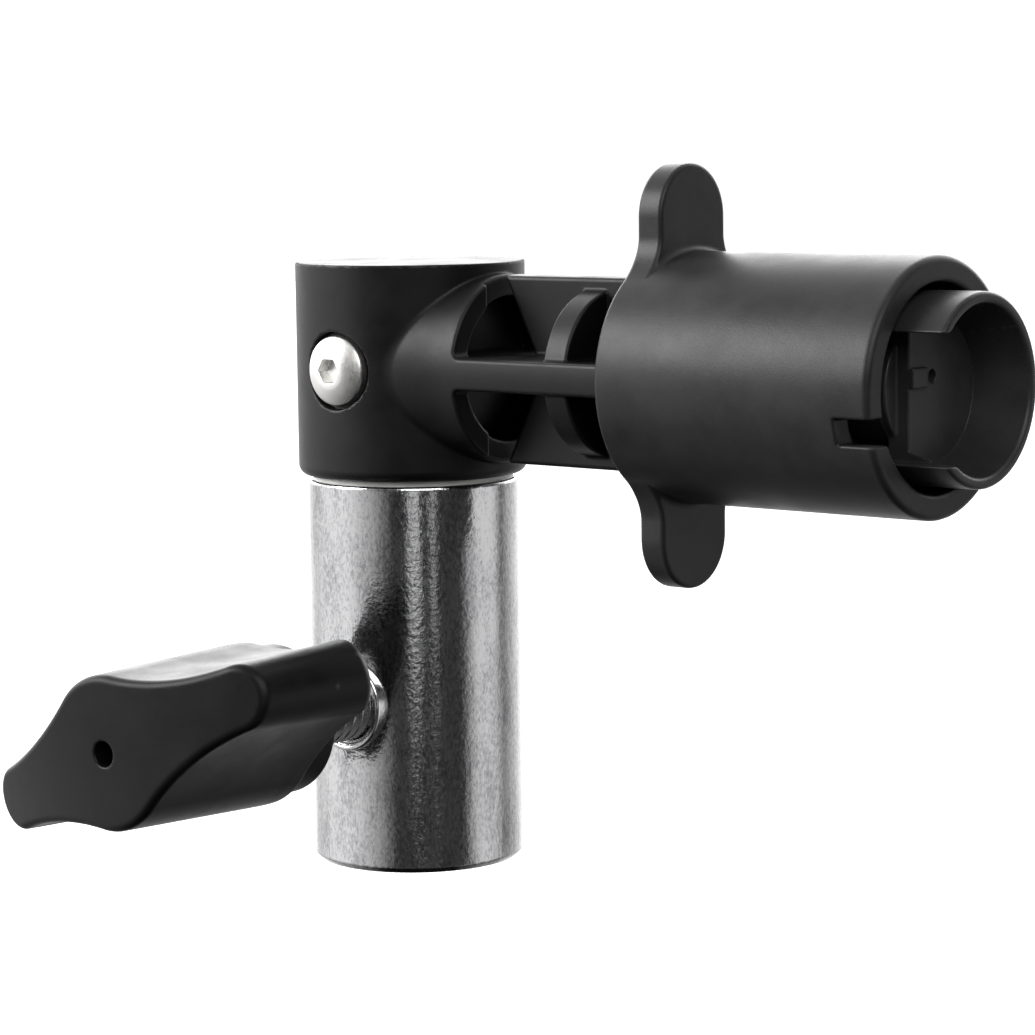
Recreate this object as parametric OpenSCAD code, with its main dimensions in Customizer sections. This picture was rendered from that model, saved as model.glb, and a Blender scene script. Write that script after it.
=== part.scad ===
// Swivel bracket for a light stand. A plated stand socket carries a head that turns
// about the socket's axis, and the head's arm carries a spring-loaded grip sleeve.
// Millimetres. Origin: centre of the socket's mouth. +Z up the socket, +X along the arm,
// -Y towards the wing knob of the clamp screw.

/* [Stand socket] */
// Bore of the socket, a free fit on a 5/8 inch stand spigot
socket_bore_d = 16.2; // [16.1:0.05:16.4]
// Outside diameter of the plated tube
tube_d = 23.3; // [23:0.1:23.6]
// Length of the plated tube
tube_len = 42.5; // [42:0.5:44]
// Depth of the socket, up to the plug that closes it
socket_depth = 36; // [34:0.5:37]

/* [Clamp screw] */
// Height of the clamp screw's axis above the socket's mouth
clamp_z = 18.5; // [17:0.5:20]
// Major diameter of the clamp screw
clamp_d = 7.9; // [7.6:0.1:7.9]
// Pitch of the clamp screw's thread, which sets how far a turn moves it
clamp_pitch = 1.25; // [1:0.25:1.5]
// Distance from the socket's axis to the front of the wing knob
knob_reach = 47.9; // [47:0.1:49]
// Radius of the knob's hub where its wings spring from it
knob_hub_r = 8.7; // [8.4:0.1:9]
// Distance from the knob's axis to the centre of a wing's round tip
wing_reach = 17.6; // [17:0.1:18]
// Radius of a wing's round tip
wing_tip_r = 4; // [3.8:0.1:4.2]
// Angle of the wings at rest
wing_angle = 23; // [20:1:26]

/* [Head and arm] */
// Diameter of the moulded head block
head_d = 25.3; // [25:0.1:25.6]
// Height of the moulded head block
head_h = 23.4; // [23.2:0.1:24]
// Height of the arm's axis above the socket's mouth
arm_z = 55; // [54.8:0.1:55.2]
// Diameter over the arm's ribs
rib_d = 20.4; // [20.2:0.1:20.4]
// Thickness of each rib
rib_t = 3.4; // [3.2:0.1:3.6]
// Diameter of the guide rod that the grip runs on
rod_d = 8; // [7.8:0.1:8]

/* [Grip sleeve] */
// Outside diameter of the grip sleeve
sleeve_d = 26; // [25.8:0.1:26.2]
// Bore of the grip sleeve
sleeve_bore_d = 20.8; // [20.8:0.1:21]
// Length of the grip sleeve
sleeve_len = 33.1; // [32.6:0.1:33.4]
// Distance from the arm's axis to the tip of an ear
ear_reach = 22; // [21.5:0.1:22.5]
// Width of an ear
ear_w = 11; // [10.6:0.1:11.4]

/* [Jaw cup] */
// Outside diameter of the jaw cup
cup_d = 19.2; // [19:0.1:19.4]
// Distance from the socket's axis to the rim of the jaw cup
cup_front_x = 74; // [73.6:0.1:74.4]

/* [Hidden] */
$fn = 64;
eps = 0.01;

// Stand socket
socket_bore_r = socket_bore_d / 2;
tube_r = tube_d / 2;
tube_chamfer = 0.6;
tube_top_chamfer = 0.35;

// Swivel stem, turned in one piece with the plug that is pressed into the tube's counterbore
plug_r = socket_bore_r + 0.3;
stem_r = 7;
stem_top_z = 63;
stem_chamfer = 0.8;
groove_r = 5.4;
groove_w = 3.4;
plug_recess_r = 3;

// Thrust washer between the tube and the head
washer_t = 0.45;
washer_r = 11.1;
washer_bore_r = stem_r + 0.15;

// Clamp boss and screw, whose thread is cut to the depth of a metric thread
thread_depth_ratio = 0.6134;
boss_r = 4.85;
boss_flange_r = 5.1;
boss_inner_y = socket_bore_r + 0.15;
boss_outer_y = 12.2;
boss_chamfer = 0.25;
screw_r = clamp_d / 2;
screw_clear = 0.07;
screw_tip_y = 10.6;
screw_end_y = 42;
screw_head_r = 6.4;
screw_head_t = 4.5;
screw_tip_chamfer = thread_depth_ratio * clamp_pitch;
pad_gap = 0.05;
pad_r = 2.8;
pad_t = 2.2;
pad_chamfer = 0.3;
pad_stub_r = 1.5;
pad_stub_l = 2;
stub_clear = 0.05;
stub_end_gap = 0.5;

// Wing knob: lens-shaped in plan, so both its faces are arcs about upright axes
wing_flank_r = 32;
crown_r = 62;
wing_back_y = 25.3;
collar_r = 8;
collar_end_y = 21.6;
collar_round = 0.9;
collar_sink = 2;
knob_hole_r = 1.3;
knob_hole_depth = 3;

// Head block
head_r = head_d / 2;
head_gap = 0.05;
head_z = tube_len + washer_t + head_gap;
head_round = 1.2;
head_bore_r = stem_r + 0.06;
head_bore_top_z = stem_top_z + 0.6;
top_chamfer = 0.3;

// Retaining screws: M4 button heads with a dog point in the stem's groove
button_r = 3.8;
button_h = 2.2;
button_dome_r = 6;
button_flat_cut = 0.2;
spot_y = 11.4;
spot_r = 4.25;
shank_r = 2;
dog_r = 1.3;
dog_tip_y = groove_r + 0.3;
dog_cone_y = 7.5;
dog_cone_end_y = 8.2;
socket_af = 2.5;
socket_dip = 1.3;

// Arm
rib_r = rib_d / 2;
flare_r = 11.1;
flare_x = 5;
flare_end_x = 12.5;
root_x = 14.7;
pocket_x = 9.8;
pocket_r = 7.8;
window_x = 19.8;
window_top = 10.6;
window_corner_x = 1;
window_corner_z = 0.5;
disc_x = 25.9;
disc_t = 3.1;
disc_r = 8.9;
seat_x = 37.2;
seat_t = 2.6;
rod_boss_r = 5.6;
rod_boss_x = 46;
rod_r = rod_d / 2;
rod_back_x = 38;
rod_front_x = 65;

// Grip sleeve
sleeve_r = sleeve_d / 2;
sleeve_bore_r = sleeve_bore_d / 2;
sleeve_x = 35.9;
sleeve_round = 0.7;
web_x = 58.4;
web_t = 2.8;
web_bore_r = rod_r + 0.08;
ear_t = 3.1;
ear_flare_r = 2.6;
ear_root_sink = 0.4;
slot_x = 64.9;
slot_w = 2.6;
slot_drop = 3.5;
slot_inner_y = 7.4;

// Spring between the arm's seat and the sleeve's web
flat_washer_t = 0.6;
flat_washer_r = 9.2;
flat_washer_bore_r = rod_r + 0.4;
wire_r = 0.5;
coil_r = 7.6;
coil_turns = 6;
coil_steps = 14;
wire_sides = 6;
spring_x0 = seat_x + seat_t;
spring_x1 = web_x - flat_washer_t;

// Jaw cup
cup_r = cup_d / 2;
cup_back_x = web_x + web_t + 0.05;
cup_hub_r = 6.2;
floor_back_x = 65.5;
floor_x = 68;
floor_r = 7.2;
rim_r = 8.5;
rim_round = 0.5;
notch_y = -4.3;
notch_low = 6.9;
notch_high = 5.9;
key_low = 0.2;
key_high = 2.2;
key_proud = 0.5;
key_len = 2.7;
key_root = 1;
dimple_r = 0.65;
dimple_y = -0.15;
dimple_depth = 1;
pin_r = 1;
pin_x = 63.2;
pin_half = 5.9;

// Turns a shape drawn along +Z so that it lies along +X, on the arm's axis
module along_arm(x = 0) {
    translate([x, 0, arm_z]) rotate([0, 90, 0]) children();
}

// Turns a shape drawn along +Z so that it points along -Y, on the clamp screw's axis
module along_clamp(y = 0) {
    translate([0, -y, clamp_z]) rotate([90, 0, 0]) children();
}

// Solid of revolution about +Z from a list of [radius, height] points
module turned(points) {
    rotate_extrude() polygon(points);
}

module socket_tube() {
    color("silver") difference() {
        turned([
            [socket_bore_r, 0],
            [tube_r - tube_chamfer, 0],
            [tube_r, tube_chamfer],
            [tube_r, tube_len - tube_top_chamfer],
            [tube_r - tube_top_chamfer, tube_len],
            [plug_r, tube_len],
            [plug_r, socket_depth],
            [socket_bore_r, socket_depth]
        ]);
        along_clamp() cylinder(r = boss_r, h = tube_d);
    }
}

module swivel_stem() {
    arm_h = groove_w / 2;
    color("darkgray") difference() {
        turned([
            [0, socket_depth],
            [plug_r, socket_depth],
            [plug_r, tube_len],
            [stem_r, tube_len],
            [stem_r, arm_z - arm_h],
            [groove_r, arm_z - arm_h],
            [groove_r, arm_z + arm_h],
            [stem_r, arm_z + arm_h],
            [stem_r, stem_top_z - stem_chamfer],
            [stem_r - stem_chamfer, stem_top_z],
            [0, stem_top_z]
        ]);
        translate([0, 0, socket_depth - eps])
            cylinder(r1 = plug_recess_r, r2 = 0, h = plug_recess_r / 2);
    }
}

module thrust_washer() {
    color("whitesmoke") translate([0, 0, tube_len]) difference() {
        cylinder(r = washer_r, h = washer_t);
        translate([0, 0, -eps]) cylinder(r = washer_bore_r, h = washer_t + 2 * eps);
    }
}

// Threaded bush pressed through the tube's wall, with a flange shaped to the tube
module clamp_boss() {
    color("silver") difference() {
        union() {
            along_clamp(boss_inner_y)
                cylinder(r = boss_r, h = boss_outer_y - boss_inner_y - boss_chamfer);
            difference() {
                along_clamp() turned([
                    [0, 0],
                    [boss_flange_r, 0],
                    [boss_flange_r, boss_outer_y - boss_chamfer],
                    [boss_flange_r - boss_chamfer, boss_outer_y],
                    [0, boss_outer_y]
                ]);
                cylinder(r = tube_r, h = tube_len);
            }
        }
        along_clamp() cylinder(r = screw_r + screw_clear, h = tube_d);
        along_clamp(boss_outer_y - boss_chamfer)
            cylinder(r1 = screw_r, r2 = screw_r + 2 * boss_chamfer, h = 2 * boss_chamfer);
    }
}

// Brass tip that bears on the spigot and does not turn with the screw
module pressure_pad() {
    color("goldenrod") along_clamp(screw_tip_y - pad_gap - pad_t) turned([
        [0, 0],
        [pad_r - pad_chamfer, 0],
        [pad_r, pad_chamfer],
        [pad_r, pad_t],
        [pad_stub_r, pad_t],
        [pad_stub_r, pad_t + pad_stub_l],
        [0, pad_t + pad_stub_l]
    ]);
}

module clamp_screw() {
    color("silver") difference() {
        union() {
            along_clamp(screw_tip_y) turned([
                [0, 0],
                [screw_r - screw_tip_chamfer, 0],
                [screw_r, screw_tip_chamfer],
                [screw_r, screw_end_y - screw_tip_y],
                [0, screw_end_y - screw_tip_y]
            ]);
            along_clamp(screw_end_y - screw_head_t)
                cylinder(r = screw_head_r, h = screw_head_t, $fn = 6);
        }
        along_clamp(screw_tip_y - eps)
            cylinder(r = pad_stub_r + stub_clear, h = pad_stub_l + stub_end_gap);
    }
}

// Outline of the wings: hub, two round tips, and a concave flank on each side
module wing_outline() {
    hub_to_flank = knob_hub_r + wing_flank_r;
    tip_to_flank = wing_tip_r + wing_flank_r;
    flank_u = (hub_to_flank ^ 2 - tip_to_flank ^ 2 + wing_reach ^ 2) / (2 * wing_reach);
    flank_v = sqrt(hub_to_flank ^ 2 - flank_u ^ 2);
    touch = knob_hub_r / hub_to_flank;
    circle(r = knob_hub_r);
    for (side = [1, -1]) {
        translate([side * wing_reach, 0]) circle(r = wing_tip_r);
        difference() {
            polygon([
                [0, 0],
                [side * flank_u * touch, flank_v * touch],
                [side * wing_reach, flank_v * touch],
                [side * wing_reach, -flank_v * touch],
                [side * flank_u * touch, -flank_v * touch]
            ]);
            for (v = [flank_v, -flank_v])
                translate([side * flank_u, v]) circle(r = wing_flank_r, $fn = 180);
        }
    }
}

module tee_knob() {
    wing_len = knob_reach - wing_back_y;
    color("#242424") difference() {
        union() {
            // Positive angles about +Z drawn here are clockwise about -Y, hence the sign
            intersection() {
                along_clamp(wing_back_y - wing_tip_r) rotate([0, 0, wing_angle])
                    linear_extrude(wing_len + 2 * wing_tip_r) wing_outline();
                translate([0, 0, clamp_z]) rotate([0, -wing_angle, 0]) {
                    translate([0, crown_r - knob_reach, -tube_d])
                        cylinder(r = crown_r, h = 2 * tube_d, $fn = 180);
                }
                translate([0, 0, clamp_z]) rotate([0, -wing_angle, 0]) {
                    translate([0, -wing_back_y - crown_r, -tube_d])
                        cylinder(r = crown_r, h = 2 * tube_d, $fn = 180);
                }
            }
            along_clamp(collar_end_y) turned([
                [0, 0],
                [collar_r - collar_round, 0],
                [collar_r, collar_round],
                [collar_r, wing_back_y - collar_end_y + collar_sink],
                [0, wing_back_y - collar_end_y + collar_sink]
            ]);
        }
        along_clamp(collar_end_y - eps) cylinder(r = screw_r, h = screw_end_y - collar_end_y);
        along_clamp(screw_end_y - screw_head_t)
            cylinder(r = screw_head_r, h = screw_head_t, $fn = 6);
        along_clamp(knob_reach - knob_hole_depth)
            cylinder(r = knob_hole_r, h = 2 * knob_hole_depth);
    }
}

// Plus-shaped ribs between the root of the arm and the spring's seat
module rib_plates() {
    rib_len = seat_x + seat_t - root_x;
    intersection() {
        along_arm(root_x) cylinder(r = rib_r, h = rib_len);
        union() {
            translate([root_x, -rib_r, arm_z - rib_t / 2]) cube([rib_len, rib_d, rib_t]);
            translate([root_x, -rib_t / 2, arm_z - rib_r]) cube([rib_len, rib_t, rib_d]);
        }
    }
}

// Pockets cored out of the arm's root above and below the level rib
module root_pockets() {
    difference() {
        along_arm(pocket_x) cylinder(r = pocket_r, h = root_x - pocket_x + eps);
        translate([0, -rib_r, arm_z - rib_t / 2]) cube([2 * root_x, rib_d, rib_t]);
    }
}

// Triangular window between the root of the arm and the upright rib
module rib_window(side) {
    translate([0, rib_t, arm_z]) rotate([90, 0, 0]) linear_extrude(2 * rib_t) polygon([
        [root_x, side * rib_t / 2],
        [window_x, side * rib_t / 2],
        [window_x - window_corner_x, side * (rib_t / 2 + window_corner_z)],
        [root_x, side * window_top]
    ]);
}

module elbow_body() {
    color("#2b2b2b") difference() {
        union() {
            turned([
                [0, head_z],
                [head_r - head_round, head_z],
                for (a = [-75 : 15 : 0])
                    [head_r - head_round + head_round * cos(a),
                     head_z + head_round + head_round * sin(a)],
                [head_r, head_z + head_h - top_chamfer],
                [head_r - top_chamfer, head_z + head_h],
                [0, head_z + head_h]
            ]);
            along_arm() turned([
                [0, 0],
                [flare_r, 0],
                [flare_r, flare_x],
                [rib_r, flare_end_x],
                [rib_r, root_x],
                [0, root_x]
            ]);
            difference() {
                rib_plates();
                for (side = [1, -1]) rib_window(side);
            }
            along_arm(disc_x) cylinder(r = disc_r, h = disc_t);
            along_arm(seat_x) cylinder(r = rib_r, h = seat_t);
            along_arm(seat_x) cylinder(r = rod_boss_r, h = rod_boss_x - seat_x);
        }
        translate([0, 0, head_z - eps])
            cylinder(r = head_bore_r, h = head_bore_top_z - head_z);
        for (turn = [0, 180]) rotate([0, 0, turn]) translate([0, 0, arm_z]) rotate([90, 0, 0]) {
            cylinder(r = shank_r, h = head_r);
            translate([0, 0, spot_y]) cylinder(r = spot_r, h = head_r);
        }
        along_arm(rod_back_x) cylinder(r = rod_r, h = rod_boss_x);
        root_pockets();
    }
}

// Button-head screw along -Y with a dog point that rides in the stem's groove
module retaining_screw() {
    difference() {
        union() {
            turned([
                [0, dog_tip_y],
                [dog_r, dog_tip_y],
                [dog_r, dog_cone_y],
                [shank_r, dog_cone_end_y],
                [shank_r, spot_y],
                [0, spot_y]
            ]);
            translate([0, 0, spot_y]) intersection() {
                cylinder(r = button_r, h = button_h);
                translate([0, 0, button_h + button_flat_cut - button_dome_r])
                    sphere(r = button_dome_r);
            }
        }
        translate([0, 0, spot_y + button_h - socket_dip])
            cylinder(d = socket_af / cos(30), h = button_h, $fn = 6);
    }
}

module retaining_screws() {
    color("gainsboro") for (turn = [0, 180])
        rotate([0, 0, turn]) translate([0, 0, arm_z]) rotate([90, 0, 0]) retaining_screw();
}

module guide_rod() {
    color("lightgray") difference() {
        along_arm(rod_back_x) cylinder(r = rod_r, h = rod_front_x - rod_back_x);
        translate([pin_x, 0, arm_z - rod_d]) cylinder(r = pin_r, h = 2 * rod_d);
    }
}

// Ring of points around the wire at step i of the coil
function coil_ring(i) =
    let (a = 360 * i / coil_steps,
         reach = spring_x1 - spring_x0 - 2 * wire_r,
         x = spring_x0 + wire_r + reach * i / (coil_turns * coil_steps))
    [for (k = [0 : wire_sides - 1])
        let (b = 360 * k / wire_sides, r = coil_r + wire_r * cos(b))
        [x + wire_r * sin(b), r * cos(a), arm_z + r * sin(a)]];

module compression_spring() {
    rings = coil_turns * coil_steps;
    points = [for (i = [0 : rings]) each coil_ring(i)];
    sides = [for (i = [0 : rings - 1], k = [0 : wire_sides - 1])
        let (n = (k + 1) % wire_sides, a = i * wire_sides, b = a + wire_sides)
        each [[a + k, a + n, b + n], [a + k, b + n, b + k]]];
    first = [for (k = [wire_sides - 1 : -1 : 0]) k];
    last = [for (k = [0 : wire_sides - 1]) rings * wire_sides + k];
    color("lightsteelblue") polyhedron(points, concat([first, last], sides));
}

module spring_washer() {
    color("lightgray") along_arm(spring_x1) difference() {
        cylinder(r = flat_washer_r, h = flat_washer_t);
        translate([0, 0, -eps]) cylinder(r = flat_washer_bore_r, h = flat_washer_t + 2 * eps);
    }
}

// Outline of both ears in the plane across the arm, blended into the sleeve
module ear_outline() {
    half = ear_w / 2;
    foot = half + ear_flare_r;
    foot_z = sqrt(sleeve_r ^ 2 - foot ^ 2) - ear_root_sink;
    for (side = [1, -1]) scale([1, side]) {
        translate([0, ear_reach - half]) circle(r = half);
        translate([-half, 0]) square([ear_w, ear_reach - half]);
        difference() {
            translate([-foot, 0]) square([2 * foot, foot_z + ear_flare_r]);
            for (edge = [1, -1])
                translate([edge * foot, foot_z + ear_flare_r]) circle(r = ear_flare_r);
        }
    }
}

module grip_sleeve() {
    slot_z = arm_z - slot_drop;
    color("#303030") difference() {
        union() {
            along_arm(sleeve_x) turned([
                [0, 0],
                [sleeve_r, 0],
                for (a = [0 : 15 : 75])
                    [sleeve_r - sleeve_round + sleeve_round * cos(a),
                     sleeve_len - sleeve_round + sleeve_round * sin(a)],
                [sleeve_r - sleeve_round, sleeve_len],
                [0, sleeve_len]
            ]);
            translate([sleeve_x, 0, arm_z]) rotate([90, 0, 90])
                linear_extrude(ear_t) ear_outline();
        }
        along_arm(sleeve_x - eps) cylinder(r = sleeve_bore_r, h = web_x - sleeve_x + eps);
        along_arm(web_x - eps) cylinder(r = web_bore_r, h = web_t + 2 * eps);
        along_arm(web_x + web_t) cylinder(r = sleeve_bore_r, h = sleeve_len);
        translate([slot_x, -sleeve_d, slot_z - slot_w / 2])
            cube([sleeve_len, sleeve_d - slot_inner_y, slot_w]);
    }
}

module jaw_cup() {
    dish = cup_front_x - floor_x;
    color("#3a3a3a") difference() {
        union() {
            difference() {
                along_arm() turned([
                    [0, cup_back_x],
                    [cup_hub_r, cup_back_x],
                    [cup_hub_r, floor_back_x],
                    [cup_r - rim_round, floor_back_x],
                    [cup_r, floor_back_x + rim_round],
                    [cup_r, cup_front_x - rim_round],
                    [cup_r - rim_round, cup_front_x],
                    [rim_r, cup_front_x],
                    [floor_r, floor_x],
                    [0, floor_x]
                ]);
                translate([floor_back_x, notch_y - cup_d, arm_z - notch_low])
                    cube([cup_d, cup_d, notch_low + notch_high]);
            }
            translate([floor_x - key_root, notch_y, arm_z + key_low])
                cube([key_root + key_proud, key_len, key_high - key_low]);
        }
        along_arm(cup_back_x - eps) cylinder(r = rod_r, h = rod_front_x - cup_back_x + eps);
        translate([pin_x, 0, arm_z - cup_d]) cylinder(r = pin_r, h = 2 * cup_d);
        along_arm(floor_x - dimple_depth)
            translate([-(key_low + key_high) / 2, dimple_y, 0])
            cylinder(r = dimple_r, h = dish);
    }
}

module cup_pin() {
    color("lightgray") translate([pin_x, 0, arm_z - pin_half])
        cylinder(r = pin_r, h = 2 * pin_half);
}

socket_tube();
swivel_stem();
thrust_washer();
clamp_boss();
pressure_pad();
clamp_screw();
tee_knob();
elbow_body();
retaining_screws();
guide_rod();
compression_spring();
spring_washer();
grip_sleeve();
jaw_cup();
cup_pin();
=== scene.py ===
"""Finished look of a swivel bracket for a light stand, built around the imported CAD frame.

Most pieces are drawn as distance fields in millimetres, so that every edge and inside corner
can be rounded as on the moulded and machined parts, and then meshed. Places and sizes come
from the CAD boxes.
"""

import math

import bpy
import numpy as np
from mathutils import Matrix, Vector


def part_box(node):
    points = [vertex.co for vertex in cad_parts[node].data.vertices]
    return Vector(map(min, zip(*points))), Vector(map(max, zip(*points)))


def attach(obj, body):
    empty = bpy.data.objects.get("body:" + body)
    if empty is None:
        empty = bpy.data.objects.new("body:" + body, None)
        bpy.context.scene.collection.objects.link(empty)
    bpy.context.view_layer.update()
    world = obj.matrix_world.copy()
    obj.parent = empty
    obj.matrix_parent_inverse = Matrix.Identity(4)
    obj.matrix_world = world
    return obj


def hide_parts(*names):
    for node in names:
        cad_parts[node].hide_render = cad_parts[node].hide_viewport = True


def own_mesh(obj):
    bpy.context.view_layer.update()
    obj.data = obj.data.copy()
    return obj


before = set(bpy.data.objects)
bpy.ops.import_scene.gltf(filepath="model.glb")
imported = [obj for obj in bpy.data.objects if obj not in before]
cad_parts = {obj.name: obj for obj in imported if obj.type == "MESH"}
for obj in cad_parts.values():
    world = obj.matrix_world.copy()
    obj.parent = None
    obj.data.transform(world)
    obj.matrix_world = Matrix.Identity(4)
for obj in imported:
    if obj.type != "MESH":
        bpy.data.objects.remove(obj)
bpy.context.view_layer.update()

MM = 0.001


# ---------------------------------------------------------------------------
# Sizes, in millimetres, read from the frame
# ---------------------------------------------------------------------------


def box_mm(node):
    """Lowest and highest corner of a CAD node, in millimetres."""
    low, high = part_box(node)
    return np.array(low) / MM, np.array(high) / MM


tube_low, tube_high = box_mm("socket_tube")
boss_low, boss_high = box_mm("clamp_boss")
screw_low, screw_high = box_mm("clamp_screw")
knob_low, knob_high = box_mm("tee_knob")
body_low, body_high = box_mm("elbow_body")
buttons_low, buttons_high = box_mm("retaining_screws")
rod_low, rod_high = box_mm("guide_rod")
spring_low, spring_high = box_mm("compression_spring")
sleeve_low, sleeve_high = box_mm("grip_sleeve")
cup_low, cup_high = box_mm("jaw_cup")

tube_r = tube_high[0]
tube_top = tube_high[2]
head_r = -body_low[0]
head_base = body_low[2]
head_top = body_high[2]
clamp_z = (boss_low[2] + boss_high[2]) / 2
arm_z = (rod_low[2] + rod_high[2]) / 2
rod_r = (rod_high[2] - rod_low[2]) / 2

# Turns a step along a 45 degree face into a distance from it
DIAGONAL = math.sqrt(0.5)


# ---------------------------------------------------------------------------
# Distance fields: negative inside, in millimetres
# ---------------------------------------------------------------------------


def both(a, b, edge=0.0):
    """What a and b share, with the edge where they meet rounded."""
    outside = np.hypot(np.maximum(a + edge, 0), np.maximum(b + edge, 0))
    return np.minimum(np.maximum(a, b), -edge) + outside


def either(a, b, fillet=0.0):
    """a and b joined, with a fillet in the corner between them."""
    inside = np.hypot(np.maximum(fillet - a, 0), np.maximum(fillet - b, 0))
    return np.maximum(np.minimum(a, b), fillet) - inside


def without(a, b, edge=0.0):
    """a with b cut out of it, with the mouth of the cut rounded."""
    return both(a, -b, edge)


def between(value, low, high):
    """Slab from low to high."""
    return np.maximum(low - value, value - high)


def cylinder(radial, along, radius, low, high, edge=0.0):
    """Capped cylinder with rounded rims."""
    return both(radial - radius, between(along, low, high), edge)


def block(x, y, z, low, high, edge=0.0):
    """Box with rounded edges."""
    sides = [between(value, a, b) + edge for value, a, b in zip((x, y, z), low, high)]
    outside = np.sqrt(sum(np.maximum(side, 0) ** 2 for side in sides))
    return np.minimum(np.maximum(np.maximum(sides[0], sides[1]), sides[2]), 0) + outside - edge


def hexagon(across, up, flat_to_flat):
    """Six-sided outline with two of its corners on the across axis."""
    a, b = np.abs(across), np.abs(up)
    slope = math.radians(30)
    return np.maximum(a * math.cos(slope) + b * math.sin(slope), b) - flat_to_flat / 2


# ---------------------------------------------------------------------------
# Meshing
# ---------------------------------------------------------------------------


def gradient(field, points, step=0.01):
    """Slope of a field at each point."""
    slope = np.empty_like(points)
    for axis in range(3):
        shift = np.zeros(3)
        shift[axis] = step
        ahead = field(*(points + shift).T)
        behind = field(*(points - shift).T)
        slope[:, axis] = (ahead - behind) / (2 * step)
    return slope


def settle(field, points, cell, rounds=5):
    """Moves points onto the field's surface."""
    for _ in range(rounds):
        slope = gradient(field, points)
        squared = np.maximum((slope**2).sum(axis=1), 0.05)
        move = slope * (field(*points.T) / squared)[:, None]
        length = np.linalg.norm(move, axis=1)
        move *= np.minimum(1, 0.5 * cell / np.maximum(length, 1e-9))[:, None]
        points = points - move
    return points


def surface_net(field, low, high, cell):
    """Points and four-sided faces of the surface where the field is zero."""
    low = np.array(low, float) - 1.5 * cell
    counts = np.ceil((np.array(high) + 1.5 * cell - low) / cell).astype(int) + 1
    axes = [low[i] + cell * np.arange(counts[i]) for i in range(3)]
    grid = np.meshgrid(*axes, indexing="ij", sparse=True)
    value = np.broadcast_to(field(*grid), counts).astype(np.float32)
    inside = value < 0
    cells = counts - 1
    total = np.zeros((int(np.prod(cells)), 4))
    corners = []
    for axis in range(3):
        near = [slice(None)] * 3
        far = [slice(None)] * 3
        near[axis] = slice(0, -1)
        far[axis] = slice(1, None)
        crossed = inside[tuple(near)] != inside[tuple(far)]
        at = np.argwhere(crossed)
        v0 = value[tuple(near)][crossed]
        v1 = value[tuple(far)][crossed]
        place = at.astype(float)
        place[:, axis] += v0 / (v0 - v1)
        second, third = (axis + 1) % 3, (axis + 2) % 3
        ring = []
        for step_b, step_c in ((1, 1), (0, 1), (0, 0), (1, 0)):
            cell_at = at.copy()
            cell_at[:, second] -= step_b
            cell_at[:, third] -= step_c
            ring.append(np.ravel_multi_index(cell_at.T, cells))
        ring = np.stack(ring, axis=1)
        for column in ring.T:
            np.add.at(total, (column, slice(0, 3)), place)
            np.add.at(total, (column, 3), 1)
        outward = (v0 < 0)[:, None]
        corners.append(np.where(outward, ring, ring[:, ::-1]))
    used = np.flatnonzero(total[:, 3])
    number = np.full(len(total), -1)
    number[used] = np.arange(len(used))
    points = low + cell * total[used, :3] / total[used, 3:]
    return points, number[np.concatenate(corners)]


def mesh_object(name, points, faces, normals=None):
    """Smooth-shaded object from points in millimetres and faces of equal size."""
    sides = faces.shape[1]
    mesh = bpy.data.meshes.new(name)
    mesh.vertices.add(len(points))
    mesh.vertices.foreach_set("co", (points * MM).astype(np.float32).ravel())
    mesh.loops.add(faces.size)
    mesh.loops.foreach_set("vertex_index", faces.astype(np.int32).ravel())
    mesh.polygons.add(len(faces))
    mesh.polygons.foreach_set("loop_start", np.arange(0, faces.size, sides, dtype=np.int32))
    mesh.update(calc_edges=True)
    mesh.shade_smooth()
    if normals is not None:
        mesh.normals_split_custom_set_from_vertices(normals)
    obj = bpy.data.objects.new(name, mesh)
    bpy.context.scene.collection.objects.link(obj)
    return obj


def sculpt(name, field, low, high, cell):
    """Meshed object of a field, with the field's own slope as its normals."""
    points, faces = surface_net(field, low, high, cell)
    points = settle(field, points, cell)
    slope = gradient(field, points)
    normals = slope / np.maximum(np.linalg.norm(slope, axis=1), 1e-9)[:, None]
    return mesh_object(name, points, faces, normals)


# ---------------------------------------------------------------------------
# Node trees
# ---------------------------------------------------------------------------


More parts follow.
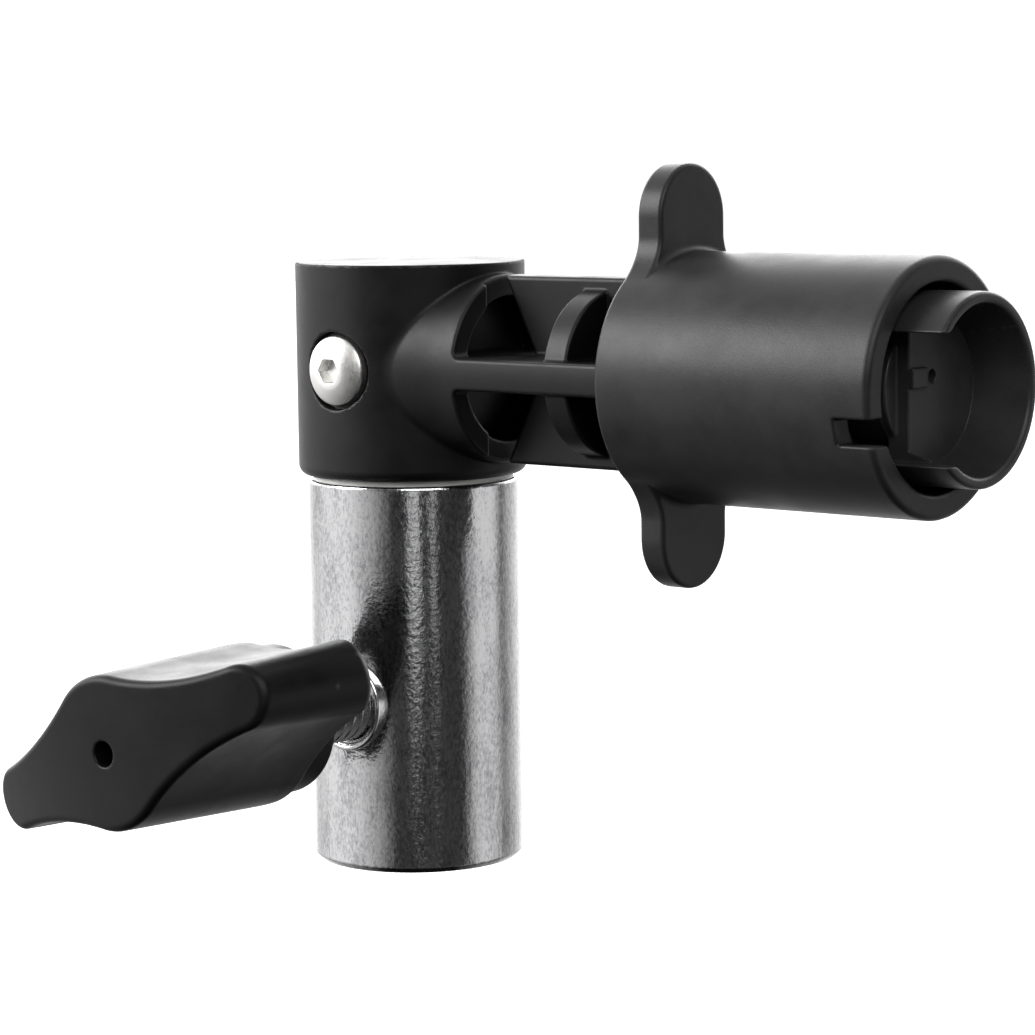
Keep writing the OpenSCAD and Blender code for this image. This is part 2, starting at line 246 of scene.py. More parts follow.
class Tree:
    """Short calls for building one node tree."""

    def __init__(self, tree):
        self.nodes = tree.nodes
        self.links = tree.links
        self.nodes.clear()

    def add(self, kind, inputs=None, **settings):
        """New node with its properties and inputs set; an input may be a socket."""
        node = self.nodes.new(kind)
        for key, value in settings.items():
            setattr(node, key, value)
        for key, value in (inputs or {}).items():
            if isinstance(value, bpy.types.NodeSocket):
                self.links.new(value, node.inputs[key])
            else:
                node.inputs[key].default_value = value
        return node

    def math(self, operation, *values):
        """Result of one arithmetic step."""
        return self.add("ShaderNodeMath", dict(enumerate(values)), operation=operation).outputs[0]

    def remap(self, value, low, high, to_low, to_high):
        """Value from one range to another, held at the ends."""
        inputs = {
            "Value": value,
            "From Min": low,
            "From Max": high,
            "To Min": to_low,
            "To Max": to_high,
        }
        return self.add("ShaderNodeMapRange", inputs).outputs["Result"]

    def noise(self, where, size, detail=3.0, rough=0.55, stretch=(1, 1, 1), shift=0.0):
        """Noise whose features are about size millimetres across."""
        mapped = self.add(
            "ShaderNodeMapping",
            {"Vector": where, "Scale": stretch, "Location": (shift, shift, shift)},
        ).outputs[0]
        inputs = {"Vector": mapped, "Scale": 1 / (size * MM), "Detail": detail, "Roughness": rough}
        return self.add("ShaderNodeTexNoise", inputs).outputs["Fac"]

    def ramp(self, value, stops):
        """Colour ramp through (place, grey or colour) stops."""
        node = self.add("ShaderNodeValToRGB", {"Fac": value})
        elements = node.color_ramp.elements
        while len(elements) < len(stops):
            elements.new(0.5)
        for element, (place, colour) in zip(elements, stops):
            element.position = place
        for element, (place, colour) in zip(elements, stops):
            rgb = colour if isinstance(colour, tuple) else (colour,) * 3
            element.color = (*rgb, 1)
        return node.outputs["Color"]

    def blend(self, amount, a, b):
        """Two colours mixed."""
        node = self.add("ShaderNodeMix", data_type="RGBA")
        for socket, value in ((0, amount), (6, a), (7, b)):
            if isinstance(value, bpy.types.NodeSocket):
                self.links.new(value, node.inputs[socket])
            else:
                node.inputs[socket].default_value = value
        return node.outputs[2]

    def bump(self, height, distance, strength=1.0, under=None):
        """Surface relief, distance millimetres high."""
        inputs = {"Height": height, "Distance": distance * MM, "Strength": strength}
        if under is not None:
            inputs["Normal"] = under
        return self.add("ShaderNodeBump", inputs).outputs["Normal"]


def material(name):
    """New material, its tree, its object coordinates and a function that finishes it."""
    made = bpy.data.materials.new(name)
    made.use_nodes = True
    tree = Tree(made.node_tree)
    where = tree.add("ShaderNodeTexCoord").outputs["Object"]

    def finish(**sockets):
        names = {key.replace("_", " "): value for key, value in sockets.items()}
        shader = tree.add("ShaderNodeBsdfPrincipled", names)
        output = tree.add("ShaderNodeOutputMaterial")
        tree.links.new(shader.outputs[0], output.inputs[0])
        return made

    return tree, where, finish


def grey(value):
    return (value, value, value, 1)


# Grey of the painted highlight laid along the edges of the plastic parts
EDGE_HIGHLIGHT_GREY = 0.07


def moulded_plastic(name, dark, light, gloss, grain, shift, shine=0.26):
    """Black moulded plastic: faint flow tones, spark-eroded grain and a painted highlight along the
    edges.
    """
    tree, where, finish = material(name)
    flow = tree.noise(where, 5, detail=4, shift=shift)
    specks = tree.noise(where, 0.35, detail=2, shift=shift)
    grit = tree.noise(where, grain, detail=3, rough=0.7, shift=shift)
    tone = tree.ramp(flow, [(0.3, dark), (0.7, light)])
    tone = tree.blend(tree.remap(specks, 0.62, 0.8, 0, 0.35), tone, grey(light[0] * 2))
    # Painted highlight: edges found by pointiness are lightened towards a grey, standing in for light
    # caught by the rounded edges
    edge = tree.add("ShaderNodeNewGeometry").outputs["Pointiness"]
    painted_edge_highlight = tree.remap(edge, 0.53, 0.62, 0, 0.5)
    edge_highlight_share = tree.math("MULTIPLY", painted_edge_highlight, tree.remap(flow, 0.35, 0.6, 0.3, 1))
    tone = tree.blend(edge_highlight_share, tone, grey(EDGE_HIGHLIGHT_GREY))
    low, high = gloss
    rough = tree.remap(flow, 0.3, 0.7, low, high)
    rough = tree.math("ADD", rough, tree.remap(grit, 0.3, 0.7, -0.03, 0.04))
    relief = tree.bump(tree.noise(where, 3, detail=2, shift=shift), 0.03, 0.6)
    relief = tree.bump(grit, 0.012, 0.8, relief)
    return finish(Base_Color=tone, Roughness=rough, Normal=relief, Specular_IOR_Level=shine)


def plated_metal(name, tone, gloss, mottle, shift):
    """Bright plating over drawn steel: mottled, with faint draw lines along the tube."""
    tree, where, finish = material(name)
    cloud = tree.noise(where, 2.2, detail=4, stretch=(1, 1, 0.3), shift=shift)
    speck = tree.noise(where, 0.3, detail=4, rough=0.75, stretch=(1, 1, 0.5), shift=shift)
    drawn = tree.noise(where, 0.5, detail=3, stretch=(1, 1, 0.03), shift=shift)
    peel = tree.noise(where, 0.55, detail=2, shift=shift)
    dark, light = tone
    mix = tree.math("ADD", tree.math("MULTIPLY", cloud, 0.35), tree.math("MULTIPLY", speck, 0.65))
    colour = tree.ramp(mix, [(0.38, dark), (0.54, light)])
    low, high = gloss
    rough = tree.remap(speck, 0.3, 0.7, low, high)
    relief = tree.bump(drawn, 0.006 * mottle, 0.7)
    relief = tree.bump(peel, 0.03 * mottle, 0.8, relief)
    relief = tree.bump(speck, 0.008 * mottle, 0.7, relief)
    return finish(Base_Color=colour, Metallic=1.0, Roughness=rough, Normal=relief)


def turned_metal(name, tone, gloss, stretch, shift):
    """Machined metal with fine tool marks and a slight stain."""
    tree, where, finish = material(name)
    stain = tree.noise(where, 3, detail=4, shift=shift)
    marks = tree.noise(where, 0.3, detail=3, stretch=stretch, shift=shift)
    dark, light = tone
    colour = tree.ramp(stain, [(0.35, dark), (0.65, light)])
    low, high = gloss
    rough = tree.remap(marks, 0.3, 0.7, low, high)
    return finish(Base_Color=colour, Metallic=1.0, Roughness=rough, Normal=tree.bump(marks, 0.006, 0.6))


def nylon(name):
    """Natural nylon, slightly waxy."""
    tree, where, finish = material(name)
    cloud = tree.noise(where, 2, detail=3)
    fine = tree.noise(where, 0.2, detail=2)
    colour = tree.ramp(cloud, [(0.3, (0.72, 0.72, 0.69)), (0.7, (0.86, 0.86, 0.83))])
    return finish(
        Base_Color=colour,
        Roughness=tree.remap(fine, 0.3, 0.7, 0.35, 0.5),
        Normal=tree.bump(fine, 0.008, 0.6),
    )


BLACK = (0.003, 0.003, 0.0031)
SOFT_BLACK = (0.006, 0.006, 0.0062)
GREY_BLACK = (0.014, 0.014, 0.0142)
DULL_BLACK = (0.024, 0.024, 0.0243)
CUP_BLACK = (0.022, 0.022, 0.0223)
CUP_GREY = (0.032, 0.032, 0.0324)
STEEL = ((0.42, 0.42, 0.43), (0.62, 0.62, 0.63))
SPRING_STEEL = ((0.36, 0.36, 0.37), (0.58, 0.58, 0.6))
TUBE_PLATING = ((0.34, 0.34, 0.35), (0.66, 0.66, 0.67))
BOSS_PLATING = ((0.6, 0.6, 0.61), (0.8, 0.8, 0.81))
ZINC = ((0.6, 0.6, 0.61), (0.8, 0.8, 0.8))
NICKEL = ((0.8, 0.79, 0.77), (0.92, 0.91, 0.89))
BRASS = ((0.55, 0.4, 0.17), (0.76, 0.58, 0.28))
EVEN = (1, 1, 1)

LOOKS = {
    "plated_tube": plated_metal("plated_tube", TUBE_PLATING, (0.08, 0.2), 1.0, 0.0),
    "plated_boss": plated_metal("plated_boss", BOSS_PLATING, (0.08, 0.2), 0.5, 0.3),
    "turned_steel": turned_metal("turned_steel", STEEL, (0.2, 0.34), (0.05, 1, 1), 0.1),
    "nylon": nylon("nylon"),
    "brass": turned_metal("brass", BRASS, (0.22, 0.36), (1, 0.1, 1), 0.2),
    "zinc_steel": turned_metal("zinc_steel", ZINC, (0.16, 0.3), EVEN, 0.4),
    "knob_plastic": moulded_plastic(
        "knob_plastic", BLACK, SOFT_BLACK, (0.34, 0.44), 0.16, 0.01, 0.18
    ),
    "head_plastic": moulded_plastic("head_plastic", BLACK, SOFT_BLACK, (0.36, 0.48), 0.18, 0.02),
    "nickel_screw": turned_metal("nickel_screw", NICKEL, (0.3, 0.44), EVEN, 0.5),
    "spring_steel": turned_metal("spring_steel", SPRING_STEEL, (0.2, 0.35), EVEN, 0.6),
    "sleeve_plastic": moulded_plastic(
        "sleeve_plastic", GREY_BLACK, DULL_BLACK, (0.34, 0.44), 0.2, 0.03
    ),
    "cup_plastic": moulded_plastic("cup_plastic", CUP_BLACK, CUP_GREY, (0.3, 0.4), 0.2, 0.04, 0.3),
}


# ---------------------------------------------------------------------------
# Pieces
# ---------------------------------------------------------------------------


def finish_piece(obj, nodes, body, look):
    """Gives a piece its material, hides the CAD nodes it replaces and attaches it to the body it rides
    on.
    """
    obj.data.materials.append(LOOKS[look])
    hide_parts(*nodes)
    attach(obj, body)


def round_clamp(x, z):
    """Distance from the clamp screw's axis."""
    return np.hypot(x, z - clamp_z)


def round_arm(y, z):
    """Distance from the arm's axis."""
    return np.hypot(y, z - arm_z)


BORE_R = 8.1
BORE_TOP = 36.2
STEM_BORE_R = 8.4
TUBE_CHAMFER = 0.6
TUBE_RIM = 0.35
BUSH_R = 4.83
BUSH_CLEAR = 0.07
BUSH_BORE_R = 4.05
RECESS_R = 4.6
FLANGE_R = 5.1
FLANGE_LIP = 0.3


def tube_field(x, y, z):
    """Stand socket: bored tube with a hole for the clamp boss."""
    radial = np.hypot(x, y)
    wall = cylinder(radial, z, tube_r, 0, tube_top, TUBE_RIM)
    foot = (radial - tube_r + TUBE_CHAMFER - z) * DIAGONAL
    wall = both(wall, foot, 0.08)
    socket = cylinder(radial, z, BORE_R, -2, BORE_TOP)
    stem_seat = cylinder(radial, z, STEM_BORE_R, BORE_TOP - 0.2, tube_top + 2)
    wall = without(wall, either(socket, stem_seat), 0.3)
    hole = np.maximum(round_clamp(x, z) - BUSH_R - BUSH_CLEAR, y)
    return without(wall, hole, 0.1)


def boss_field(x, y, z):
    """Threaded bush pressed into the tube, with a flange shaped to the tube."""
    radial = round_clamp(x, z)
    out = -y
    face = -boss_low[1]
    flange = cylinder(radial, out, FLANGE_R, 5, face, FLANGE_LIP)
    flange = both(flange, tube_r - np.hypot(x, y))
    bush = cylinder(radial, out, BUSH_R, -boss_high[1], face - FLANGE_LIP, 0.1)
    thread = radial - BUSH_BORE_R
    recess = cylinder(radial, out, RECESS_R, face - 0.4, face + 8)
    return without(either(flange, bush), either(thread, recess, 0.2), 0.12)


def thread_depth(x, y, z, pitch, depth):
    """How far a right-hand thread about the clamp axis lies below its crest."""
    turn = np.arctan2(z - clamp_z, x) / (2 * math.pi)
    along = (-y / pitch + turn) % 1.0
    tooth = np.abs(along - 0.5) * 2
    crest, flank = 0.14, 0.74
    return depth * np.clip((tooth - crest) / flank, 0, 1)


THREAD_PITCH = 1.25
THREAD_DEPTH = 0.7
CREST_R = 3.93
HEX_FLATS = 11.0
HEX_HEIGHT = 4.5


def clamp_screw_field(x, y, z):
    """Threaded clamp screw with a hexagon head moulded into the knob."""
    radial = round_clamp(x, z)
    out = -y
    back, front = -screw_high[1], -screw_low[1]
    rod = radial - CREST_R + thread_depth(x, y, z, THREAD_PITCH, THREAD_DEPTH)
    rod = both(rod * 0.85, between(out, back, front), 0.1)
    point = (radial - 3.95 + back + 0.8 - out) * DIAGONAL
    rod = both(rod, point)
    head = both(hexagon(x, z - clamp_z, HEX_FLATS), between(out, front - HEX_HEIGHT, front), 0.2)
    return either(rod, head)


WING_ANGLE = math.radians(23)
WING_REACH = 17.6
FLANK_R = 32.0
HUB_R = 8.0
TIP_R = 3.3
DRAFT = 0.7
FRONT_CROWN_R = 62.0
BACK_CROWN = 0.0085
KNOB_BACK = 25.3
COLLAR_R = 8.0
EJECTOR_R = 1.3


def wing_outline(across, up):
    """Outline of the knob's front: hub, two round tips and concave flanks between them."""
    a, b = np.abs(across), np.abs(up)
    to_hub, to_tip = HUB_R + FLANK_R, TIP_R + FLANK_R
    flank_a = (to_hub**2 - to_tip**2 + WING_REACH**2) / (2 * WING_REACH)
    flank_b = math.sqrt(to_hub**2 - flank_a**2)
    hub = np.hypot(a, b) - HUB_R
    tip = np.hypot(a - WING_REACH, b) - TIP_R
    flank = FLANK_R - np.hypot(a - flank_a, b - flank_b)
    by_hub = a * flank_b < b * flank_a
    by_tip = (a - WING_REACH) * flank_b > b * (flank_a - WING_REACH)
    return np.where(by_hub, hub, np.where(by_tip, tip, flank))


def knob_field(x, y, z):
    """Wing knob: crowned on both faces, drafted towards its front, with a round collar."""
    rise = z - clamp_z
    across = x * math.cos(WING_ANGLE) + rise * math.sin(WING_ANGLE)
    up = rise * math.cos(WING_ANGLE) - x * math.sin(WING_ANGLE)
    out = -y
    front = -knob_low[1]
    draft = DRAFT * np.clip((front - out) / 20, 0, 1)
    wings = wing_outline(across, up) - draft
    wings = both(wings, out - (front - across**2 / (2 * FRONT_CROWN_R)), 0.8)
    wings = both(wings, KNOB_BACK + BACK_CROWN * across**2 - out, 1.2)
    radial = round_clamp(x, z)
    collar = cylinder(radial, out, COLLAR_R, -knob_high[1], 28, 0.9)
    knob = either(wings, collar, 0.6)
    hole = cylinder(radial, out, EJECTOR_R, front - 3, front + 2, 0.2)
    knob = without(knob, hole, 0.25)
    pocket = either(
        cylinder(radial, out, 3.98, 15, 42),
        both(hexagon(x, z - clamp_z, 11.1), between(out, 37.4, 42.05)),
    )
    return without(knob, pocket, 0.15)


RIB = 1.7
ROOT_R = 11.1
ARM_TAPER = 0.9
TAPER_START, TAPER_LENGTH = 4, 9.5
ROOT_END = 14.7
ARM_END = 39.8
WINDOW_TOP = 10.6
WINDOW_FLOOR = 2.2
WINDOW_TIP = 18.8
POCKET_R = 7.8
POCKET_START, POCKET_END = 9.8, 15.2
COLLARS = ((8.9, 25.9, 29.0), (10.2, 37.2, ARM_END))
NOSE_R = 5.6
STEM_HOLE_R = 7.06
STEM_HOLE_TOP = 63.6
SEAT_Y = 11.4
SEAT_R = 4.25
SCREW_HOLE_R = 2.02


def window_field(x, y, z, side):
    """Slanted window cut through the upright rib beside the arm's root."""
    up = side * (z - arm_z)
    slant = np.array([WINDOW_TOP - WINDOW_FLOOR, WINDOW_TIP - ROOT_END])
    slant = slant / np.linalg.norm(slant)
    face = (x - ROOT_END) * slant[0] + (up - WINDOW_TOP) * slant[1]
    opening = both(both(face, RIB - up, 0.5), ROOT_END - 0.5 - x)
    return np.maximum(opening, between(y, -4, 4))


def arm_field(x, y, z):
    """Cross-ribbed arm with its round root and the windows beside it."""
    about = round_arm(y, z)
    share = np.clip((x - TAPER_START) / TAPER_LENGTH, 0, 1)
    envelope = ROOT_R - ARM_TAPER * share**2 * (3 - 2 * share)
    ribs = either(np.abs(z - arm_z) - RIB, np.abs(y) - RIB, 0.45)
    arm = either(x - ROOT_END, ribs, 0.7)
    arm = both(arm, about - envelope, 0.35)
    arm = both(arm, between(x, -2, ARM_END), 0.3)
    for side in (1, -1):
        arm = without(arm, window_field(x, y, z, side), 0.5)
    return arm


def head_field(x, y, z):
    """Head block and ribbed arm, moulded in one piece."""
    radial = np.hypot(x, y)
    about = round_arm(y, z)
    up = z - arm_z
    head = cylinder(radial, z, head_r, head_base, head_top + 5, 1.2)
    head = both(head, z - head_top, 0.15)
    head = either(head, arm_field(x, y, z), 0.3)
    pockets = cylinder(about, x, POCKET_R, POCKET_START, POCKET_END, 0.4)
    pockets = both(pockets, RIB - np.abs(up), 0.4)
    head = without(head, pockets, 0.3)
    for radius, start, end in COLLARS:
        head = either(head, cylinder(about, x, radius, start, end, 0.35), 0.35)
    head = either(head, cylinder(about, x, NOSE_R, 38, body_high[0], 0.4), 0.3)
    head = without(head, cylinder(radial, z, STEM_HOLE_R, 30, STEM_HOLE_TOP, 0.3), 0.3)
    screw_axis = np.hypot(x, up)
    seats = either(screw_axis - SCREW_HOLE_R, both(screw_axis - SEAT_R, SEAT_Y - np.abs(y)))
    head = without(head, seats, 0.15)
    return without(head, cylinder(about, x, rod_r, 38, 60), 0.1)


DOME_R = 6.0
DOME_CUT = 0.2
BUTTON_R = 3.8
SHANK_R = 2.0
DOG_R = 1.3
SOCKET_FLATS = 2.5
SOCKET_DEPTH = 1.3


def button_field(side):
    """Button-head screw with a hexagon socket and a dog point in the stem's groove."""

    def field(x, y, z):
        out = side * y
        up = z - arm_z
        radial = np.hypot(x, up)
        top = buttons_high[1]
        dome = np.sqrt(x**2 + up**2 + (out - top - DOME_CUT + DOME_R) ** 2) - DOME_R
        button = both(cylinder(radial, out, BUTTON_R, SEAT_Y, top, 0.12), dome, 0.15)
        shank = cylinder(radial, out, SHANK_R, 7.9, 12, 0.1)
        dog = cylinder(radial, out, DOG_R, 5.7, 9, 0.2)
        socket = both(hexagon(x, up, SOCKET_FLATS), top - SOCKET_DEPTH - out)
        return without(either(either(button, shank), dog, 0.2), socket, 0.12)

    return field


SLEEVE_R = 13.0
SLEEVE_BORE_R = 10.4
WEB_BACK, WEB_FRONT = 58.4, 61.2
WEB_HOLE_R = 4.08
EAR_R = 5.5
EAR_REACH = 16.5
EAR_DEPTH = 3.1
SLOT_START = 64.9
SLOT_LOW, SLOT_HIGH = 50.2, 52.8


def ear_outline(y, up):
    """Outline of both ears across the arm, flared into the sleeve."""
    high = np.abs(up)
    tip = np.hypot(y, np.maximum(high - EAR_REACH, 0)) - EAR_R
    barrel = np.hypot(y, up) - SLEEVE_R
    return either(tip, barrel, 2.6)


def sleeve_field(x, y, z):
    """Spring-loaded grip sleeve with two ears, an inner web and a slot at its front."""
    up = z - arm_z
    about = round_arm(y, z)
    back, front = sleeve_low[0], sleeve_high[0]
    barrel = cylinder(about, x, SLEEVE_R, back, front + 4, 0.5)
    barrel = both(barrel, x - front, 0.7)
    outline = ear_outline(y, up)
    ears = both(outline, between(x, back, back + EAR_DEPTH), 0.45)
    sleeve = either(barrel, ears, np.clip(about - SLEEVE_R - outline, 0, 0.8))
    sleeve = without(sleeve, cylinder(about, x, SLEEVE_BORE_R, back - 3, WEB_BACK, 0.4), 0.35)
    sleeve = without(sleeve, cylinder(about, x, SLEEVE_BORE_R, WEB_FRONT, front + 3, 0.4), 0.45)
    sleeve = without(sleeve, about - WEB_HOLE_R, 0.2)
    slot = block(x, y, z, (SLOT_START, -20, SLOT_LOW), (80, -7.4, SLOT_HIGH), 0.2)
    return without(sleeve, slot, 0.3)


CUP_R = 9.6
CUP_BACK = 65.5
DISH_START = 68
DISH_R = (7.2, 8.5)
HUB_BACK_R = 6.2
NOTCH_Y = -4.3
NOTCH_LOW, NOTCH_HIGH = -6.9, 5.9
KEY_LENGTH = 2.7
KEY_LOW, KEY_HIGH = 0.2, 2.2
KEY_BACK, KEY_FRONT = 67, 68.5
DIMPLE_Y, DIMPLE_UP, DIMPLE_R = -0.15, 1.2, 0.65


def cup_field(x, y, z):
    """Jaw cup: a dished disc on a hub, cut away on the near side, with a key on its floor."""
    up = z - arm_z
    about = round_arm(y, z)
    front = cup_high[0]
    disc = cylinder(about, x, CUP_R, CUP_BACK, front, 0.45)
    dish = both(about - np.interp(x, [DISH_START, front], DISH_R), DISH_START - x)
    disc = without(disc, dish, 0.4)
    hub = cylinder(about, x, HUB_BACK_R, cup_low[0], CUP_BACK + 1, 0.2)
    notch_low = (CUP_BACK, -20, arm_z + NOTCH_LOW)
    notch = block(x, y, z, notch_low, (90, NOTCH_Y, arm_z + NOTCH_HIGH), 0.2)
    disc = without(disc, notch, 0.25)
    key_low = (KEY_BACK, NOTCH_Y, arm_z + KEY_LOW)
    key_high = (KEY_FRONT, NOTCH_Y + KEY_LENGTH, arm_z + KEY_HIGH)
    cup = either(either(disc, hub, 0.3), block(x, y, z, key_low, key_high, 0.15))
    dimple = np.hypot(y - DIMPLE_Y, up - DIMPLE_UP) - DIMPLE_R
    cup = without(cup, np.maximum(dimple, KEY_BACK - x), 0.1)
    return without(cup, cylinder(about, x, rod_r, 50, 65.0), 0.1)


WIRE_R = 0.5
COIL_R = 7.6
TURNS = 6.5
CLOSED_TURNS = 0.85
STEPS_PER_TURN = 48
WIRE_SIDES = 12


def coil_spring(name):
    """Round-wire spring whose end coils are closed up."""
    low, high = spring_low[0] + WIRE_R, spring_high[0] - WIRE_R
    steps = int(TURNS * STEPS_PER_TURN)
    turn = np.linspace(0, TURNS, steps + 1)
    share = np.clip((turn - CLOSED_TURNS) / (TURNS - 2 * CLOSED_TURNS), 0, 1)
    first = np.clip(turn / CLOSED_TURNS, 0, 1) * 2 * WIRE_R
    last = np.clip((turn - TURNS + CLOSED_TURNS) / CLOSED_TURNS, 0, 1) * 2 * WIRE_R
    along = low + first + last + share * (high - low - 4 * WIRE_R)
    angle = 2 * math.pi * turn
    lines = []
    for k in range(WIRE_SIDES):
        around = 2 * math.pi * k / WIRE_SIDES
        radius = COIL_R + WIRE_R * math.cos(around)
        across, up = radius * np.cos(angle), arm_z + radius * np.sin(angle)
        lines.append(np.stack([along + WIRE_R * math.sin(around), across, up], axis=1))
    rings = np.stack(lines, axis=1)
    ends = rings[[0, -1]].mean(axis=1)
    points = np.concatenate([rings.reshape(-1, 3), ends])
    first_hub, last_hub = len(points) - 2, len(points) - 1
    faces = []
    caps = []
    for k in range(WIRE_SIDES):
        n = (k + 1) % WIRE_SIDES
        for a in range(0, steps * WIRE_SIDES, WIRE_SIDES):
            b = a + WIRE_SIDES
            faces.append((a + k, a + n, b + n, b + k))
        caps.append((first_hub, n, k))
        caps.append((last_hub, steps * WIRE_SIDES + k, steps * WIRE_SIDES + n))
    mesh = bpy.data.meshes.new(name)
    mesh.from_pydata([tuple(p * MM) for p in points], [], faces + caps)
    mesh.shade_smooth()
    mesh.update()
    obj = bpy.data.objects.new(name, mesh)
    bpy.context.scene.collection.objects.link(obj)
    return obj


FIELDS = [
    ("tube_skin", tube_field, "socket_tube", "socket", "plated_tube", 0.28),
    ("boss_skin", boss_field, "clamp_boss", "socket", "plated_boss", 0.12),
    ("screw_skin", clamp_screw_field, "clamp_screw", "clamp_knob", "zinc_steel", 0.16),
    ("knob_skin", knob_field, "tee_knob", "clamp_knob", "knob_plastic", 0.26),
    ("head_skin", head_field, "elbow_body", "head", "head_plastic", 0.24),
    ("sleeve_skin", sleeve_field, "grip_sleeve", "grip", "sleeve_plastic", 0.26),
    ("cup_skin", cup_field, "jaw_cup", "head", "cup_plastic", 0.16),
]

for name, field, node, body, look, cell in FIELDS:
    low, high = box_mm(node)
    finish_piece(sculpt(name, field, low, high, cell), [node], body, look)

BUTTON_INNER = 5
for side, word in ((-1, "near"), (1, "far")):
    low, high = np.array(buttons_low), np.array(buttons_high)
    if side < 0:
        high[1] = -BUTTON_INNER
    else:
        low[1] = BUTTON_INNER
    button = sculpt(f"button_{word}", button_field(side), low, high, 0.1)
    finish_piece(button, ["retaining_screws"], "head", "nickel_screw")

spring = coil_spring("spring_coil")
finish_piece(spring, ["compression_spring"], "head", "spring_steel")
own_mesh(spring)

CAD_LOOKS = {
    "swivel_stem": "turned_steel",
    "thrust_washer": "nylon",
    "pressure_pad": "brass",
    "guide_rod": "turned_steel",
    "spring_washer": "zinc_steel",
    "cup_pin": "turned_steel",
}
for node, look in CAD_LOOKS.items():
    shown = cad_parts[node]
    shown.data.materials.clear()
    shown.data.materials.append(LOOKS[look])


# ---------------------------------------------------------------------------
# Camera, light and floor
# ---------------------------------------------------------------------------

CAMERA_AZIMUTH = 39.79
CAMERA_ELEVATION = 6.69
CAMERA_ROLL = -0.74
CAMERA_PLACE = (0.2424, -0.27306, 0.08053)
LIGHT_AIM = (0.02, 0, 0.045)
SENSOR_WIDTH = 36
LENS = 114.8


def camera_axes():
    """Right, up and backward directions of the camera before its roll."""
    az, el = math.radians(CAMERA_AZIMUTH), math.radians(CAMERA_ELEVATION)
    back = Vector((math.sin(az) * math.cos(el), -math.cos(az) * math.cos(el), math.sin(el)))
    right = Vector((math.cos(az), math.sin(az), 0))
    return right, back.cross(right), back


def add_camera():
    """Long-lens camera at the object's three-quarter view."""
    right, up, back = camera_axes()
    roll = math.radians(CAMERA_ROLL)
    rolled_right = right * math.cos(roll) + up * math.sin(roll)
    rolled_up = up * math.cos(roll) - right * math.sin(roll)
    data = bpy.data.cameras.new("camera")
    data.sensor_width = SENSOR_WIDTH
    data.sensor_fit = "HORIZONTAL"
    data.lens = LENS
    data.clip_start = 0.01
    camera = bpy.data.objects.new("camera", data)
    turn = Matrix((rolled_right, rolled_up, back)).transposed().to_4x4()
    camera.matrix_world = Matrix.Translation(CAMERA_PLACE) @ turn
    bpy.context.scene.collection.objects.link(camera)
    bpy.context.scene.camera = camera


def area_light(name, azimuth, elevation, distance, size, power):
    """Softbox aimed at the object, placed by its angle from the camera's side."""
    az = math.radians(CAMERA_AZIMUTH + azimuth)
    el = math.radians(elevation)
    away = Vector((math.sin(az) * math.cos(el), -math.cos(az) * math.cos(el), math.sin(el)))
    data = bpy.data.lights.new(name, "AREA")
    data.shape = "RECTANGLE"
    data.size, data.size_y = size
    data.energy = power
    light = bpy.data.objects.new(name, data)
    light.location = Vector(LIGHT_AIM) + away * distance
    light.rotation_euler = away.to_track_quat("Z", "Y").to_euler()
    light.visible_camera = False
    bpy.context.scene.collection.objects.link(light)


# Soft panels round the object: the angle of the middle from the camera's side, half of the even
# width, the fade past it (all in degrees) and the brightness. The high panels take over from the
# low ones just above the horizon.
LOW_PANELS = ((180, 20, 60, 1.3), (-100, 20, 60, 1.1), (85, 12, 20, 0.85))
HIGH_PANELS = ((180, 35, 35, 5.0), (-120, 20, 70, 1.6))


def panel_light(tree, turn, panels, dark):
    """Brightness by direction round the object: the brightest panel there, or the dark level."""
    light = dark
    for middle, half, fade, level in panels:
        apart = tree.math("COSINE", tree.math("SUBTRACT", turn, math.radians(middle)))
        apart = tree.math("ARCCOSINE", apart)
        panel = tree.remap(apart, math.radians(half), math.radians(half + fade), level, 0)
        light = tree.math("MAXIMUM", panel, light)
    return light


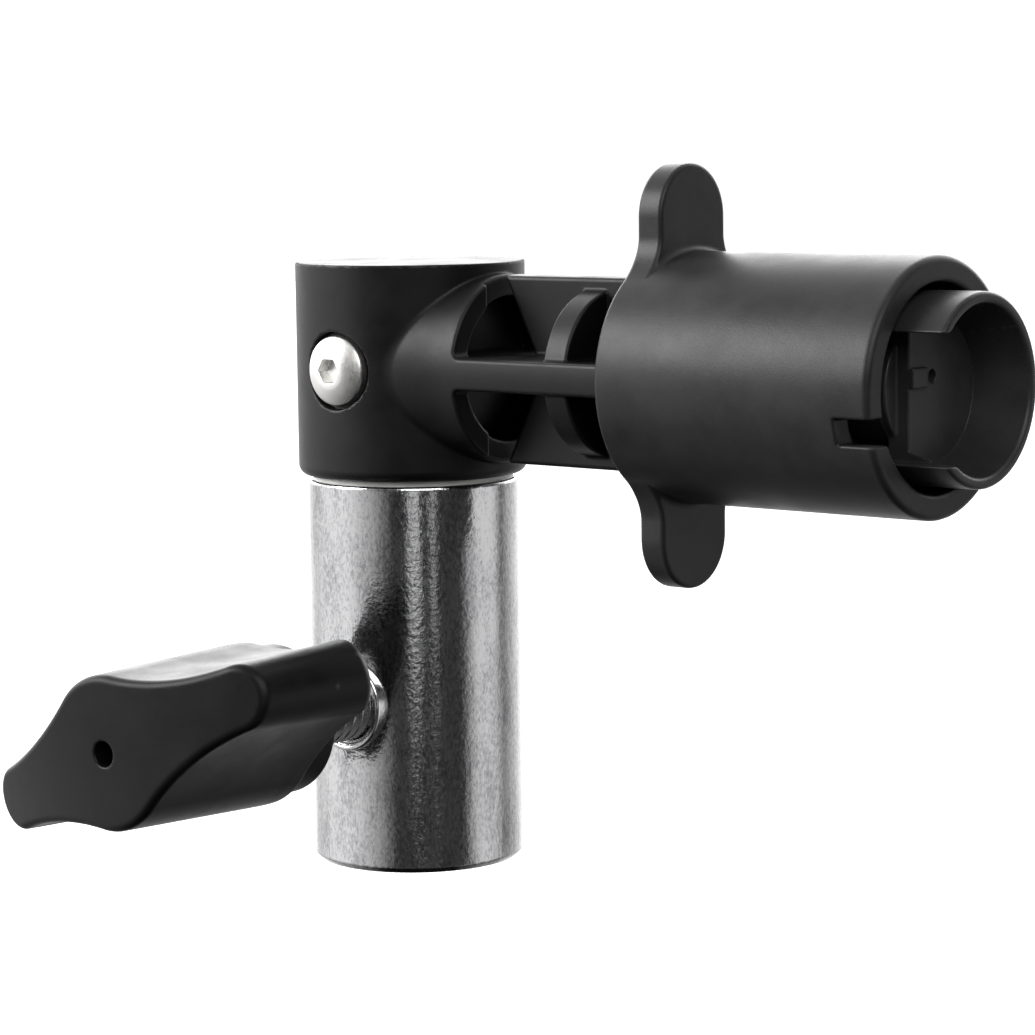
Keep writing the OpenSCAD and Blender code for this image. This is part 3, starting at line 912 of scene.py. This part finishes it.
def add_world():
    """White backdrop for the camera, with soft panels, a dim ceiling and a dark floor around."""
    world = bpy.data.worlds.new("studio")
    world.use_nodes = True
    bpy.context.scene.world = world
    tree = Tree(world.node_tree)
    where = tree.add("ShaderNodeTexCoord").outputs["Generated"]
    split = tree.add("ShaderNodeSeparateXYZ", {"Vector": where})
    z = split.outputs["Z"]
    az = math.radians(CAMERA_AZIMUTH)
    to_right = (math.cos(az), math.sin(az), 0)
    to_camera = (math.sin(az), -math.cos(az), 0)
    side, ahead = (
        tree.add("ShaderNodeVectorMath", {0: where, 1: way}, operation="DOT_PRODUCT").outputs["Value"]
        for way in (to_right, to_camera)
    )
    turn = tree.math("ARCTAN2", side, ahead)
    lower = panel_light(tree, turn, LOW_PANELS, 0.05)
    upper = panel_light(tree, turn, HIGH_PANELS, 0.12)
    lift = tree.math("ARCSINE", z)
    ceiling = tree.ramp(tree.remap(ahead, -1, 1, 0, 1), [(0.0, 1.0), (0.45, 0.7), (0.75, 0.15)])
    light = lower
    for start, end, amount, above in (
        (-1, 7, 1, upper),
        (25, 50, 1, ceiling),
        (-14, -40, 0.7, grey(0.08)),
        (-45, -65, 1, grey(0.005)),
    ):
        share = tree.remap(lift, math.radians(start), math.radians(end), 0, amount)
        light = tree.blend(share, light, above)
    studio = tree.add("ShaderNodeBackground", {"Color": light, "Strength": 1.0})
    white = tree.add("ShaderNodeBackground", {"Color": grey(1), "Strength": 1.1})
    seen = tree.add("ShaderNodeLightPath").outputs["Is Camera Ray"]
    mixed = tree.add("ShaderNodeMixShader", {0: seen, 1: studio.outputs[0], 2: white.outputs[0]})
    output = tree.add("ShaderNodeOutputWorld")
    tree.links.new(mixed.outputs[0], output.inputs[0])


def add_floor():
    """Plain pale floor, well below the object."""
    half, height = 3.0, -0.12
    mesh = bpy.data.meshes.new("floor")
    corners = [(x * half, y * half, height) for x, y in ((-1, -1), (1, -1), (1, 1), (-1, 1))]
    mesh.from_pydata(corners, [], [(0, 1, 2, 3)])
    floor = bpy.data.objects.new("floor", mesh)
    bpy.context.scene.collection.objects.link(floor)
    made = bpy.data.materials.new("floor")
    made.use_nodes = True
    shader = made.node_tree.nodes["Principled BSDF"]
    shader.inputs["Base Color"].default_value = grey(0.9)
    shader.inputs["Roughness"].default_value = 0.9
    shader.inputs["Emission Color"].default_value = grey(1)
    shader.inputs["Emission Strength"].default_value = 0.5
    floor.visible_glossy = False
    floor.visible_diffuse = False
    mesh.materials.append(made)


add_camera()
add_world()
add_floor()
area_light("key_left", -85, 27, 0.9, (0.6, 0.45), 8.5)
area_light("front_fill", 15, 35, 0.9, (0.8, 0.5), 4.2)
area_light("front_strip", 0, -4, 0.9, (0.2, 0.17), 0.08)
area_light("side_strip", 21, -4, 0.9, (0.08, 0.17), 0.025)
bpy.context.scene.view_settings.view_transform = "Standard"
